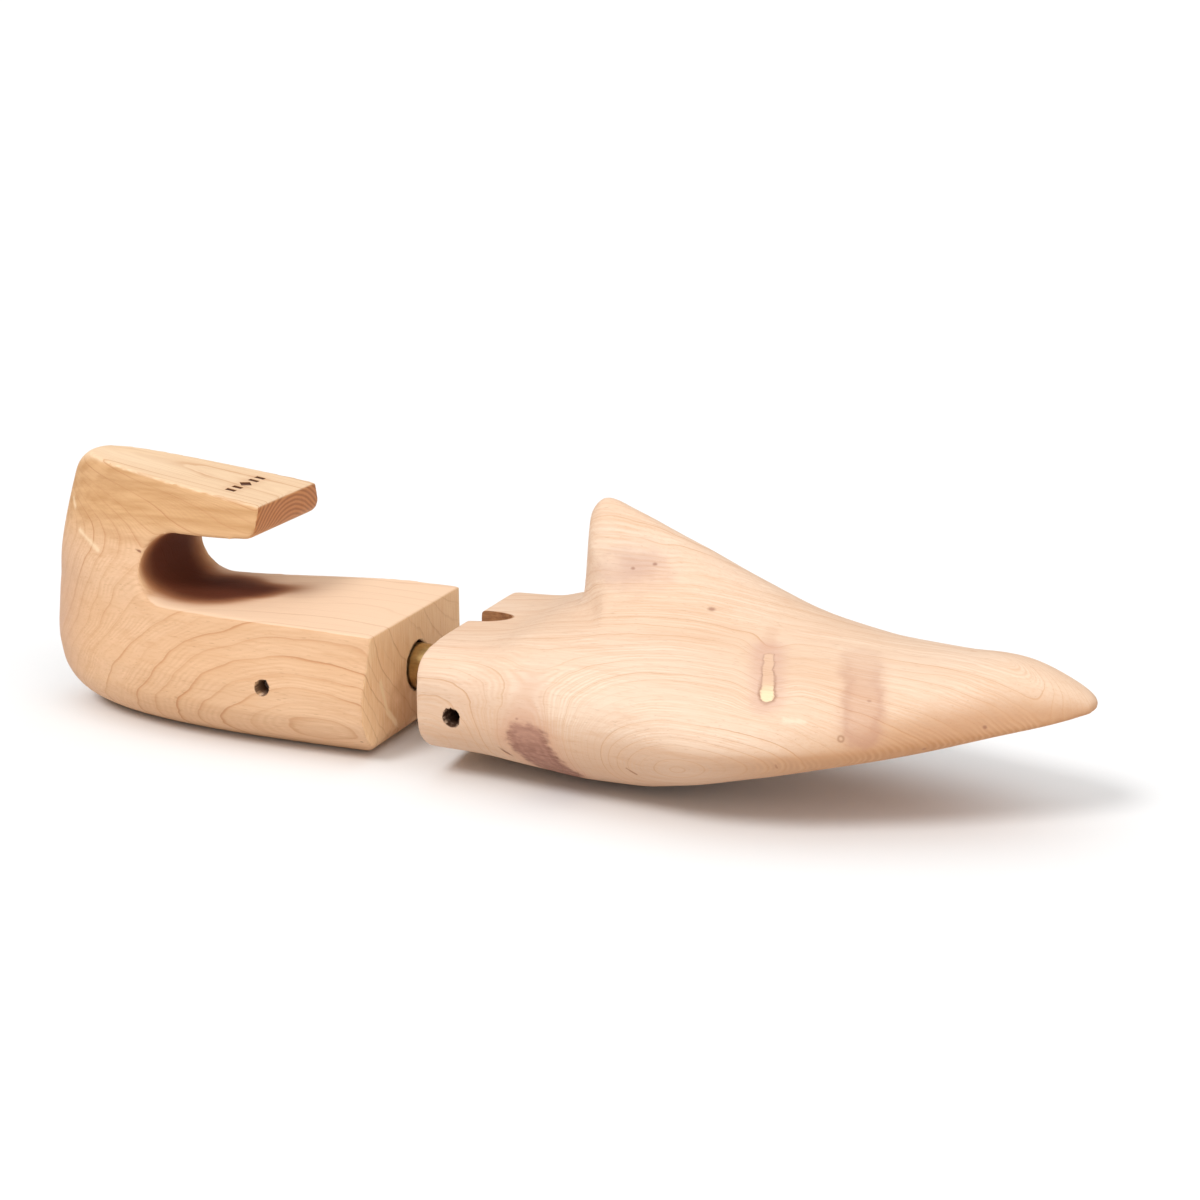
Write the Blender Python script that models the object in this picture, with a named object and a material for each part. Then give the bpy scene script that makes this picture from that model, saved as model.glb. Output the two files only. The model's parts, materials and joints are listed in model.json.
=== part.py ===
"""Sprung wooden shoe tree for a right shoe: heel block with a finger hook, forepart,
telescoping tubes, spring and two cross pins. Rests on its heel block and ball."""
import math

import bmesh
import bpy
from mathutils import Matrix, Vector

MM = 0.001

# Row frame: the drawing frame below, moved so that the bounding box is centred over the origin.
CENTRE_X = 35.1
CENTRE_Y = -8.3

# Drawing frame, millimetres: X = 0 is the heel block's front face, +X to the toe, Z = 0 the floor.
TUBE_Z = 18.6
HEEL_PIN_X = -28.4
HINGE_X = 26.6
REAR_X = 16.4
TOE_X = 178.0
STOP_GAP = 0.3
SLIDE_TRAVEL = 9.0

HEEL_BORE_R = 6.4
HEEL_BORE_X0 = -58.0
OUTER_TUBE_R = 6.0
OUTER_TUBE_IN_R = 5.4
OUTER_TUBE_X = (-56.0, 7.0)
INNER_TUBE_R = 5.0
INNER_TUBE_IN_R = 4.4
INNER_TUBE_X0 = -46.0
EYE_R = 4.1
EYE_PLAN_R = 5.2
EYE_NECK = 4.0
EYE_SHOULDER = 0.7
EYE_PLUG_R = 4.0
EYE_PLUG_X0 = 15.0
HEEL_PIN_R = 1.7
HEEL_PIN_Y = (-28.5, 21.0)
HEEL_PIN_HOLE_R = 2.0
HINGE_PIN_R = 1.9
HINGE_PIN_Y = (-20.0, 18.0)
HINGE_HOLE_R = 2.25
SPRING_R = 3.5
SPRING_WIRE_R = 0.45
SPRING_COILS = 13.0
PIN_END_ROOM = 1.0
PIN_CHAMFER = 0.3
PART_GAP = 0.3
FORE_SLOT_HALF = 6.5
FORE_SLOT_FLOOR = 13.2
FORE_SLOT_ROUND_X = 24.9
FORE_SLOT_ROOF = 27.6
MOUTH_HALF = 5.0
MOUTH_END_X = 27.2

# Forepart, by distance along X: edges, heights and the fin behind the instep ridge.
FORE = {
    "lateral": [(16.4, -34.5), (30, -35.8), (45, -38.6), (60, -40.3), (75, -42.6), (90, -45.0),
                (105, -43.4), (125, -36.4), (145, -27.2), (160, -18.6), (170, -12.4),
                (175, -8.0), (177, -5.8), (178, -2.0)],
    "medial": [(16.4, 28.4), (35, 27.7), (55, 28.0), (75, 28.3), (95, 27.5), (115, 24.5),
               (135, 19.5), (155, 13.4), (168, 8.6), (175, 4.6), (177, 2.4), (178, -2.0)],
    "side": [(16.4, 18.0), (40, 19.8), (60, 21.0), (80, 21.8), (100, 21.8), (120, 22.6),
             (140, 25.0), (160, 26.8), (178, 29.6)],
    "bottom": [(16.4, 4.2), (30, 3.4), (45, 1.5), (60, 0.0), (72, 0.4), (85, 3.3), (100, 7.6),
               (120, 13.5), (140, 18.7), (160, 24.7), (178, 28.8)],
    "crown": [(16.4, 34.0), (30, 34.8), (45, 39.0), (60, 40.0), (75, 39.9), (90, 38.7),
              (105, 37.3), (125, 37.3), (145, 39.6), (160, 40.6), (178, 38.0)],
    "ridge": [(16.4, 0.0), (34, 0.2), (42, 0.8), (45, 2.8), (46.7, 24.4), (50.5, 27.6),
              (57, 25.8), (72, 19.7), (85, 14.8), (97, 10.8), (111, 6.8), (130, 3.4), (150, 0.4),
              (178, 0.0)],
    "ridge_y": [(16.4, 6.0), (60, 9.6), (100, 13.6), (130, 6.0), (178, -2.0)],
    "ridge_w": [(16.4, 14.0), (50, 12.0), (70, 17.0), (100, 24.0), (130, 30.0), (178, 30.0)],
    "upper_n": [(16.4, 5.5), (30, 4.0), (45, 2.8), (60, 2.2), (90, 2.0), (178, 2.0)],
    "medial_n": [(16.4, 14.0), (34, 12.0), (46, 4.0), (60, 2.2), (90, 2.0), (178, 2.0)],
    "lower_n": [(16.4, 2.6), (45, 2.15), (75, 1.95), (100, 1.95), (140, 2.3), (178, 2.4)],
}
FORE_STATIONS = (16.4, 20, 25, 30, 35, 40, 42.5, 44.4, 45.2, 45.6, 46, 46.5, 47.2, 48.3, 50, 52,
                 54, 58, 62, 68, 75, 82, 90, 98, 106, 115, 124, 133, 142, 150, 157, 163, 168, 172, 175,
                 176.6, 177.5, 177.9)
FORE_COUNT = 60
FIN_SWEEP = 5.4
FIN_SWEEP_END = 64.0
FIN_SWEEP_RUN = 12.0
TOE_START = 148.0
TOE_POWER = 2.3

# Heel block and hook, by height: lateral and medial edges, back and front ends.
HEEL = {
    "lateral": [(0, -18.0), (0.8, -21.0), (2, -23.0), (5.3, -27.8), (9, -31.2), (13, -32.8),
                (18, -32.6), (22, -31.4), (27.4, -29.2), (34, -26.9), (40, -24.8), (46, -21.6),
                (52, -18.6), (57, -16.6), (62, -14.9), (66, -14.2), (72, -12.5)],
    "medial": [(0, 16.0), (0.8, 19.0), (2, 21.0), (5.3, 24.5), (9, 26.6), (13, 27.4),
               (18, 27.6), (34, 27.2), (40, 25.2), (46, 21.6), (52, 18.6), (57, 17.0),
               (62, 15.3), (66, 12.9), (72, 10.8)],
    "back": [(0, -91.0), (0.8, -94.5), (2.2, -98.0), (6.8, -102.6), (14.7, -105.8),
             (23.3, -107.4), (32, -107.8), (40.7, -107.1), (49.5, -105.4), (58, -103.2),
             (63.8, -101.3), (67.7, -98.8), (70, -95.5), (72, -90.0)],
    "front": [(0, -6.5), (0.8, -4.2), (2, -2.6), (5.3, -0.6), (8, 0.0), (72, 0.0)],
}
MEDIAL_TAPER = [(-107.8, 0.42), (-66, 0.42), (-56, 0.40), (-45, 0.31), (-31, 0.185), (-17, 0.07),
                (-8, 0.035), (0, 0.02)]
MEDIAL_TAPER_Z = (44.0, 55.0)
HEEL_LEVELS = (0, 0.8, 2, 5.3, 9, 13, 18, 23, 28, 32, 36, 40, 44, 46, 48, 50, 52, 55, 58, 62,
               66, 69, 72)
HEEL_WAIST_X = -30.0
SLOT_X = -62.6
SLOT_Z = 43.4
SLOT_R = 8.8
HOOK_FRONT_X = -37.2
HOOK_TOP_Z = 61.5
HOOK_SLOPE = 0.142
HEEL_SQUARENESS = (2.2, 2.8)
HEEL_SQUARE_Z = (35.0, 60.0)
FRONT_TAPER = 0.02

REACH = 60.0
TUBE_REACH = 15.0
TALL = 95.0
WELD = 0.00002


def at(x, y, z):
    """Drawing millimetres to row metres."""
    return Vector(((x - CENTRE_X) * MM, (y - CENTRE_Y) * MM, z * MM))


def curve(knots, x):
    """Smooth curve through (position, value) knots that never overshoots them."""
    xs = [k[0] for k in knots]
    ys = [k[1] for k in knots]
    x = min(max(x, xs[0]), xs[-1])
    gaps = [b - a for a, b in zip(xs, xs[1:])]
    slopes = [(b - a) / h for a, b, h in zip(ys, ys[1:], gaps)]
    tangents = [slopes[0]] + [0.0] * (len(xs) - 2) + [slopes[-1]]
    for i in range(1, len(xs) - 1):
        if slopes[i - 1] * slopes[i] > 0:
            wa = 2 * gaps[i] + gaps[i - 1]
            wb = gaps[i] + 2 * gaps[i - 1]
            tangents[i] = (wa + wb) / (wa / slopes[i - 1] + wb / slopes[i])
    i = 0
    while i < len(gaps) - 1 and x > xs[i + 1]:
        i += 1
    h = gaps[i]
    t = (x - xs[i]) / h
    return ((1 + 2 * t) * (1 - t) ** 2 * ys[i] + t * (1 - t) ** 2 * h * tangents[i]
            + t * t * (3 - 2 * t) * ys[i + 1] + t * t * (t - 1) * h * tangents[i + 1])


def power(value, exponent):
    return math.copysign(abs(value) ** exponent, value)


def fore_section(x, count):
    """One cross-section of the forepart: a squarish oval with the instep ridge on top."""
    p = {name: curve(knots, x) for name, knots in FORE.items()}
    run = max(0.0, (x - TOE_START) / (TOE_X - TOE_START))
    toe = math.sqrt(max(0.0, 1 - run ** TOE_POWER))
    mid = (p["lateral"] + p["medial"]) / 2
    half = (p["medial"] - p["lateral"]) / 2
    ring = []
    for i in range(count):
        a = 2 * math.pi * i / count
        c, s = math.cos(a), math.sin(a)
        if s >= 0:
            exponent = 2 / (p["medial_n"] if c > 0 else p["upper_n"])
            rise = p["crown"] - p["side"]
        else:
            exponent = 2 / p["lower_n"]
            rise = p["side"] - p["bottom"]
        y = mid + half * power(c, exponent)
        z = p["side"] + toe * rise * power(s, exponent)
        if s > 0:
            spread = ((y - p["ridge_y"]) / p["ridge_w"]) ** 2
            sweep = min(1.0, max(0.0, (FIN_SWEEP_END - x) / FIN_SWEEP_RUN))
            fin = curve(FORE["ridge"], x - FIN_SWEEP * spread * sweep) * math.exp(-spread)
            z += toe * fin * min(1.0, 3 * s)
        ring.append(at(x, y, z))
    return ring


def heel_section(z, count):
    """One level of the heel block: flat front, straight cheeks, rounded back."""
    lateral = curve(HEEL["lateral"], z)
    medial = curve(HEEL["medial"], z)
    back = curve(HEEL["back"], z)
    front = curve(HEEL["front"], z)
    mid = (lateral + medial) / 2
    half = (medial - lateral) / 2
    low, high = HEEL_SQUARE_Z
    blend = min(1.0, max(0.0, (z - low) / (high - low)))
    e = 2 / (HEEL_SQUARENESS[0] + (HEEL_SQUARENESS[1] - HEEL_SQUARENESS[0]) * blend)
    low, high = MEDIAL_TAPER_Z
    slim = 1 - min(1.0, max(0.0, (z - low) / (high - low)))
    points = []
    for k in range(4):
        t = 1 - k / 4
        points.append((HEEL_WAIST_X + (front - HEEL_WAIST_X) * t, -1 + FRONT_TAPER * t * t))
    for i in range(count + 1):
        a = math.pi * i / count
        x = HEEL_WAIST_X + (back - HEEL_WAIST_X) * abs(math.sin(a)) ** e
        points.append((x, -power(math.cos(a), e)))
    for k in range(1, 5):
        t = k / 4
        points.append((HEEL_WAIST_X + (front - HEEL_WAIST_X) * t, 1 - FRONT_TAPER * t * t))
    ring = []
    for x, across in points:
        if across > 0:
            across *= 1 - slim * curve(MEDIAL_TAPER, x)
        ring.append(at(x, mid + half * across, z))
    return ring


def finish(bm, name):
    bmesh.ops.recalc_face_normals(bm, faces=bm.faces)
    mesh = bpy.data.meshes.new(name)
    bm.to_mesh(mesh)
    bm.free()
    obj = bpy.data.objects.new(name, mesh)
    bpy.context.scene.collection.objects.link(obj)
    return obj


def loft(name, rings, tip=None):
    """Closed skin over rings of equal length, with flat ends or a single end point."""
    bm = bmesh.new()
    rows = [[bm.verts.new(p) for p in ring] for ring in rings]
    count = len(rings[0])
    for a, b in zip(rows, rows[1:]):
        for i in range(count):
            j = (i + 1) % count
            bm.faces.new((a[i], a[j], b[j], b[i]))
    bm.faces.new(rows[0])
    if tip is None:
        bm.faces.new(rows[-1])
    else:
        end = bm.verts.new(tip)
        for i in range(count):
            bm.faces.new((rows[-1][i], rows[-1][(i + 1) % count], end))
    return finish(bm, name)


def prism(name, profile, low, high, axis):
    """Profile in drawing millimetres, pushed from low to high along Y or Z."""
    bm = bmesh.new()
    rows = []
    for d in (low, high):
        if axis == "Y":
            rows.append([bm.verts.new(at(u, d, v)) for u, v in profile])
        else:
            rows.append([bm.verts.new(at(u, v, d)) for u, v in profile])
    for i in range(len(profile)):
        j = (i + 1) % len(profile)
        bm.faces.new((rows[0][i], rows[0][j], rows[1][j], rows[1][i]))
    bm.faces.new(rows[0])
    bm.faces.new(rows[1])
    return finish(bm, name)


def rod(name, radius, start, end, sides=32, chamfer=0.0):
    """Solid round bar between two drawing points, its ends chamfered if asked."""
    a, b = at(*start), at(*end)
    axis = (b - a).normalized()
    turn = axis.to_track_quat("Z", "Y").to_matrix()
    length = (b - a).length
    stops = [(0.0, radius), (length, radius)]
    if chamfer:
        c = chamfer * MM
        stops = [(0.0, radius - chamfer), (c, radius), (length - c, radius),
                 (length, radius - chamfer)]
    rings = []
    for d, r in stops:
        ring = []
        for i in range(sides):
            w = 2 * math.pi * i / sides
            ring.append(a + turn @ Vector((r * MM * math.cos(w), r * MM * math.sin(w), d)))
        rings.append(ring)
    return loft(name, rings)


def arc(cx, cz, radius, first, last, steps):
    points = []
    for i in range(steps + 1):
        w = math.radians(first + (last - first) * i / steps)
        points.append((cx + radius * math.cos(w), cz + radius * math.sin(w)))
    return points


def cut(body, cutter, operation="DIFFERENCE"):
    """Apply one Boolean and discard the cutter."""
    cutter.hide_render = True
    cutter.display_type = "WIRE"
    mod = body.modifiers.new("cut", "BOOLEAN")
    mod.operation = operation
    mod.solver = "EXACT"
    mod.object = cutter
    bpy.context.view_layer.update()
    graph = bpy.context.evaluated_depsgraph_get()
    mesh = bpy.data.meshes.new_from_object(body.evaluated_get(graph))
    body.modifiers.clear()
    body.data = mesh
    bpy.data.objects.remove(cutter)


def dress(obj, material, angle, origin=None):
    """Weld crumbs, shade, colour and put the origin on the piece's own axis or centre."""
    bm = bmesh.new()
    bm.from_mesh(obj.data)
    bmesh.ops.remove_doubles(bm, verts=bm.verts, dist=WELD)
    bmesh.ops.recalc_face_normals(bm, faces=bm.faces)
    bm.to_mesh(obj.data)
    bm.free()
    obj.data.shade_smooth()
    obj.data.set_sharp_from_angle(angle=math.radians(angle))
    obj.data.materials.clear()
    obj.data.materials.append(material)
    if origin is not None:
        obj.data.transform(Matrix.Translation(-origin))
        obj.location = origin
    return obj


def material(name, colour, metallic, roughness):
    mat = bpy.data.materials.new(name)
    mat.use_nodes = True
    shader = mat.node_tree.nodes["Principled BSDF"]
    shader.inputs["Base Color"].default_value = (*colour, 1.0)
    shader.inputs["Metallic"].default_value = metallic
    shader.inputs["Roughness"].default_value = roughness
    return mat


def make_heel_block(wood):
    body = loft("heel_block", [heel_section(z, 26) for z in HEEL_LEVELS])
    notch = [(HOOK_FRONT_X, TALL), (HOOK_FRONT_X, HOOK_TOP_Z), (-37.8, 54.5), (-39.6, 52.9)]
    notch += [(-50.0, 52.4)]
    notch += arc(SLOT_X, SLOT_Z, SLOT_R, 90, 270, 14)
    notch += [(-45.0, 34.4), (-20.0, 34.0), (0.0, 33.5), (20.0, 33.5), (20.0, TALL)]
    cut(body, prism("notch_cutter", notch, -REACH, REACH, "Y"))
    back, front = HOOK_FRONT_X - REACH - REACH / 2, HOOK_FRONT_X + REACH / 3
    top = [(back, HOOK_TOP_Z + HOOK_SLOPE * (HOOK_FRONT_X - back)), (back, TALL)]
    top += [(front, TALL), (front, HOOK_TOP_Z + HOOK_SLOPE * (HOOK_FRONT_X - front))]
    cut(body, prism("top_cutter", top, -REACH, REACH, "Y"))
    cut(body, rod("bore_cutter", HEEL_BORE_R, (HEEL_BORE_X0, 0, TUBE_Z), (10, 0, TUBE_Z), 36))
    cut(body, rod("pin_cutter", HEEL_PIN_HOLE_R, (HEEL_PIN_X, -REACH, TUBE_Z),
                  (HEEL_PIN_X, HEEL_PIN_Y[1] + PIN_END_ROOM, TUBE_Z), 20))
    return dress(body, wood, 40)


def make_forepart(wood):
    rings = [fore_section(x, FORE_COUNT) for x in FORE_STATIONS]
    tip = at(TOE_X, curve(FORE["lateral"], TOE_X), curve(FORE["side"], TOE_X))
    body = loft("forepart", rings, tip)
    half = FORE_SLOT_HALF
    slot = [(REAR_X - 10, -half)] + arc(FORE_SLOT_ROUND_X, 0, half, -90, 90, 14)
    slot += [(REAR_X - 10, half)]
    cut(body, prism("slot_cutter", slot, FORE_SLOT_FLOOR, FORE_SLOT_ROOF, "Z"))
    mouth = [(REAR_X - 10, -MOUTH_HALF)]
    for u, v in arc(0, 0, 1, -90, 90, 16):
        mouth.append((REAR_X + (MOUTH_END_X - REAR_X) * u, MOUTH_HALF * v))
    mouth.append((REAR_X - 10, MOUTH_HALF))
    cut(body, prism("mouth_cutter", mouth, TUBE_Z, REACH, "Z"))
    cut(body, rod("hinge_cutter", HINGE_HOLE_R, (HINGE_X, -REACH, TUBE_Z),
                  (HINGE_X, HINGE_PIN_Y[1] + PIN_END_ROOM, TUBE_Z), 20))
    return dress(body, wood, 40)


def make_tube(name, radius, inner, x0, x1):
    """Open tube along X."""
    sides = 32
    rings = []
    for r, x in ((radius, x0), (radius, x1), (inner, x1), (inner, x0)):
        ring = []
        for i in range(sides):
            w = 2 * math.pi * i / sides
            ring.append(at(x, r * math.cos(w), TUBE_Z + r * math.sin(w)))
        rings.append(ring)
    bm = bmesh.new()
    rows = [[bm.verts.new(p) for p in ring] for ring in rings]
    for k in range(4):
        a, b = rows[k], rows[(k + 1) % 4]
        for i in range(sides):
            j = (i + 1) % sides
            bm.faces.new((a[i], a[j], b[j], b[i]))
    return finish(bm, name)


def round_end(body, radius, eye):
    """Neck the toe end down to an eye round the hinge pin's axis, rounded in plan too."""
    neck = HINGE_X - EYE_NECK
    edge = radius + EYE_SHOULDER
    outline = [(-TALL, TUBE_Z - edge), (neck, TUBE_Z - edge)]
    outline += arc(HINGE_X, TUBE_Z, eye, -90, 90, 16)
    outline += [(neck, TUBE_Z + edge), (-TALL, TUBE_Z + edge)]
    cut(body, prism("end_cutter", outline, -TUBE_REACH, TUBE_REACH, "Y"), "INTERSECT")
    outline = [(-TALL, -EYE_PLAN_R)] + arc(FORE_SLOT_ROUND_X, 0, EYE_PLAN_R, -90, 90, 16)
    outline += [(-TALL, EYE_PLAN_R)]
    cut(body, prism("plan_cutter", outline, 0, 40, "Z"), "INTERSECT")


def make_outer_tube(brass):
    body = make_tube("outer_tube", OUTER_TUBE_R, OUTER_TUBE_IN_R, *OUTER_TUBE_X)
    cut(body, rod("pin_cutter", HEEL_PIN_HOLE_R, (HEEL_PIN_X, -TUBE_REACH, TUBE_Z),
                  (HEEL_PIN_X, TUBE_REACH, TUBE_Z), 20))
    return dress(body, brass, 40)


def make_inner_tube(brass, hinge):
    body = make_tube("inner_tube", INNER_TUBE_R, INNER_TUBE_IN_R, INNER_TUBE_X0, HINGE_X + 6)
    round_end(body, INNER_TUBE_R, EYE_R)
    r = HEEL_PIN_HOLE_R
    end = HEEL_PIN_X + SLIDE_TRAVEL + STOP_GAP
    slot = arc(HEEL_PIN_X, TUBE_Z, r, 90, 270, 8) + arc(end, TUBE_Z, r, -90, 90, 8)
    cut(body, prism("slot_cutter", slot, -TUBE_REACH, TUBE_REACH, "Y"))
    cut(body, rod("hinge_cutter", HINGE_HOLE_R, (HINGE_X, -TUBE_REACH, TUBE_Z),
                  (HINGE_X, TUBE_REACH, TUBE_Z), 20))
    return dress(body, brass, 40, hinge)


def make_eye_plug(steel, hinge):
    body = rod("eye_plug", EYE_PLUG_R, (EYE_PLUG_X0, 0, TUBE_Z), (HINGE_X + 6, 0, TUBE_Z), 28)
    round_end(body, EYE_PLUG_R, EYE_PLUG_R - 0.1)
    cut(body, rod("hinge_cutter", HINGE_HOLE_R, (HINGE_X, -TUBE_REACH, TUBE_Z),
                  (HINGE_X, TUBE_REACH, TUBE_Z), 20))
    return dress(body, steel, 40, hinge)


def make_spring(steel):
    """Compression spring between the heel pin and the eye plug."""
    sides = 6
    steps = int(SPRING_COILS * 12)
    x0 = HEEL_PIN_X + HEEL_PIN_R + PART_GAP + SPRING_WIRE_R
    x1 = EYE_PLUG_X0 - PART_GAP - SPRING_WIRE_R
    rings = []
    for i in range(steps + 1):
        t = i / steps
        w = 2 * math.pi * SPRING_COILS * t
        x = x0 + (x1 - x0) * t
        out = Vector((0, math.cos(w), math.sin(w)))
        centre = at(x, SPRING_R * math.cos(w), TUBE_Z + SPRING_R * math.sin(w))
        ring = []
        for k in range(sides):
            v = 2 * math.pi * k / sides
            ring.append(centre + SPRING_WIRE_R * MM * (out * math.cos(v)
                                                       + Vector((1, 0, 0)) * math.sin(v)))
        rings.append(ring)
    return dress(loft("spring", rings), steel, 70)


def main():
    for obj in list(bpy.data.objects):
        bpy.data.objects.remove(obj)
    cedar_heel = material("cedar_heel", (0.80, 0.55, 0.34), 0.0, 0.55)
    cedar_fore = material("cedar_fore", (0.86, 0.66, 0.47), 0.0, 0.55)
    brass = material("brass", (0.62, 0.47, 0.22), 1.0, 0.32)
    steel = material("steel", (0.60, 0.60, 0.62), 1.0, 0.30)
    hinge = at(HINGE_X, 0, TUBE_Z)
    make_heel_block(cedar_heel)
    make_forepart(cedar_fore)
    make_outer_tube(brass)
    make_inner_tube(brass, hinge)
    make_eye_plug(steel, hinge)
    make_spring(steel)
    dress(rod("heel_cross_pin", HEEL_PIN_R, (HEEL_PIN_X, HEEL_PIN_Y[0], TUBE_Z),
              (HEEL_PIN_X, HEEL_PIN_Y[1], TUBE_Z), 18, PIN_CHAMFER), steel, 30)
    dress(rod("hinge_pin", HINGE_PIN_R, (HINGE_X, HINGE_PIN_Y[0], TUBE_Z),
              (HINGE_X, HINGE_PIN_Y[1], TUBE_Z), 18, PIN_CHAMFER), steel, 30)


main()
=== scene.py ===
"""Looks of a sprung cedar shoe tree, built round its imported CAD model.

Shapes are drawn in drawing millimetres: X = 0 is the heel block's front face, +X to the toe,
Y = 0 the tubes' axis, Z = 0 the floor. place() moves a finished mesh to the row frame.
"""

import json
import math

import bmesh
import bpy
import numpy as np
from mathutils import Matrix, Vector


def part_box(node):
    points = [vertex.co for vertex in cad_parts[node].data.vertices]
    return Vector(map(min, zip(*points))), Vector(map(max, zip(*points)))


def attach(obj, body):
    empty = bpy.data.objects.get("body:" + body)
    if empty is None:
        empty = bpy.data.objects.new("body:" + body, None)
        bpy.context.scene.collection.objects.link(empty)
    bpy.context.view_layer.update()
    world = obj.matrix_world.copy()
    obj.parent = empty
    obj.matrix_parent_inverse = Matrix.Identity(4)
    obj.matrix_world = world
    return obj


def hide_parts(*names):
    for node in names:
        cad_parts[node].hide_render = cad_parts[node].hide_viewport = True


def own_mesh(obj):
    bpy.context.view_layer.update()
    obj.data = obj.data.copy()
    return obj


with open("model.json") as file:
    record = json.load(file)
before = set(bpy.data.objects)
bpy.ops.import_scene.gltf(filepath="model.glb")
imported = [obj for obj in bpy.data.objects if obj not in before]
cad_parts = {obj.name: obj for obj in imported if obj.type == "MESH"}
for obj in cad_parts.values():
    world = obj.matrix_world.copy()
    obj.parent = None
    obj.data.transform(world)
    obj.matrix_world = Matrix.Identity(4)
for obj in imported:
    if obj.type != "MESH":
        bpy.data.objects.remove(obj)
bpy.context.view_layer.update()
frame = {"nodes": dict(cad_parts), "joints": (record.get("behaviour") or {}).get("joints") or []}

MM = 0.001

# ------------------------------------------------------------------ sizes, from the frame
HEEL_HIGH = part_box("heel_block")[1]
TUBE_LOW, TUBE_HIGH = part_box("outer_tube")
INNER_LOW, INNER_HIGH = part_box("inner_tube")
SPRING_LOW, SPRING_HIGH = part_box("spring")
PIN_LOW, PIN_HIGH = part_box("heel_cross_pin")
HINGE_LOW, HINGE_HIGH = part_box("hinge_pin")
FORE_LOW, FORE_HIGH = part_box("forepart")

SLIDE = next(joint for joint in frame["joints"] if joint["name"] == "heel_slide")
TRAVEL = SLIDE["range_m"][1]

ORIGIN = Vector((HEEL_HIGH.x, (TUBE_LOW.y + TUBE_HIGH.y) / 2, 0.0))


def drawn(point):
    """Row metres to drawing millimetres."""
    return (point - ORIGIN) / MM


TUBE_Z = drawn(TUBE_LOW.lerp(TUBE_HIGH, 0.5)).z
HEEL_PIN_X = drawn(PIN_LOW.lerp(PIN_HIGH, 0.5)).x
HINGE_X = drawn(HINGE_LOW.lerp(HINGE_HIGH, 0.5)).x
REAR_X = drawn(FORE_LOW).x
TOE_X = drawn(FORE_HIGH).x
OUTER_TUBE_X = (drawn(TUBE_LOW).x, drawn(TUBE_HIGH).x)
OUTER_TUBE_R = (TUBE_HIGH.z - TUBE_LOW.z) / 2 / MM
INNER_TUBE_R = (INNER_HIGH.z - INNER_LOW.z) / 2 / MM
HEEL_PIN_END = drawn(PIN_HIGH).y + 1.0
HINGE_PIN_END = drawn(HINGE_HIGH).y + 1.0

# Cuts and walls that no box gives: bores, the forepart's slot and its mouth, the tubes' eye.
TUBE_WALL = 0.6
TUBE_CHAMFER = 0.15
HEEL_BORE_R = 6.4
HEEL_BORE_X0 = -58.0
HEEL_PIN_HOLE_R = 2.0
HINGE_HOLE_R = 2.25
FORE_SLOT_HALF = 6.5
FORE_SLOT_FLOOR = 13.2
FORE_SLOT_ROUND_X = 24.9
FORE_SLOT_ROOF = 27.6
MOUTH_HALF = 5.0
MOUTH_END_X = 27.2
EYE_R = 4.1
EYE_PLAN_R = 5.2
EYE_NECK = 4.0
EYE_SHOULDER = 0.7
STOP_GAP = 0.3

# Forepart, by distance along X: edges, heights and the fin behind the instep ridge.
FORE = {
    "lateral": [(16.4, -34.5), (30, -35.8), (45, -38.6), (60, -40.3), (75, -42.6), (90, -45.0),
                (105, -43.4), (125, -36.4), (145, -27.2), (160, -18.6), (170, -12.4),
                (175, -8.0), (177, -5.8), (178, -2.0)],
    "medial": [(16.4, 28.4), (35, 27.7), (55, 28.0), (75, 28.3), (95, 27.5), (115, 24.5),
               (135, 19.5), (155, 13.4), (168, 8.6), (175, 4.6), (177, 2.4), (178, -2.0)],
    "side": [(16.4, 18.0), (40, 19.8), (60, 21.0), (80, 21.8), (100, 21.8), (120, 22.6),
             (140, 25.0), (160, 26.8), (178, 29.6)],
    "bottom": [(16.4, 4.2), (30, 3.4), (45, 1.5), (60, 0.0), (72, 0.4), (85, 3.3), (100, 7.6),
               (120, 13.5), (140, 18.7), (160, 24.7), (178, 28.8)],
    "crown": [(16.4, 34.0), (30, 34.8), (45, 39.0), (60, 40.0), (75, 39.9), (90, 38.7),
              (105, 37.3), (125, 37.3), (145, 39.6), (160, 40.6), (178, 38.0)],
    "ridge": [(16.4, 0.0), (34, 0.2), (42, 0.8), (45, 2.8), (46.7, 24.4), (50.5, 27.6),
              (57, 25.8), (72, 19.7), (85, 14.8), (97, 10.8), (111, 6.8), (130, 3.4), (150, 0.4),
              (178, 0.0)],
    "ridge_y": [(16.4, 6.0), (60, 9.6), (100, 13.6), (130, 6.0), (178, -2.0)],
    "ridge_w": [(16.4, 14.0), (50, 12.0), (70, 17.0), (100, 24.0), (130, 30.0), (178, 30.0)],
    "upper_n": [(16.4, 5.5), (30, 4.0), (45, 2.8), (60, 2.2), (90, 2.0), (178, 2.0)],
    "medial_n": [(16.4, 14.0), (34, 12.0), (46, 4.0), (60, 2.2), (90, 2.0), (178, 2.0)],
    "lower_n": [(16.4, 2.6), (45, 2.15), (75, 1.95), (100, 1.95), (140, 2.3), (178, 2.4)],
}
FIN_SWEEP = 5.4
FIN_SWEEP_END = 64.0
FIN_SWEEP_RUN = 12.0
TOE_START = 148.0
TOE_POWER = 2.3

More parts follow.
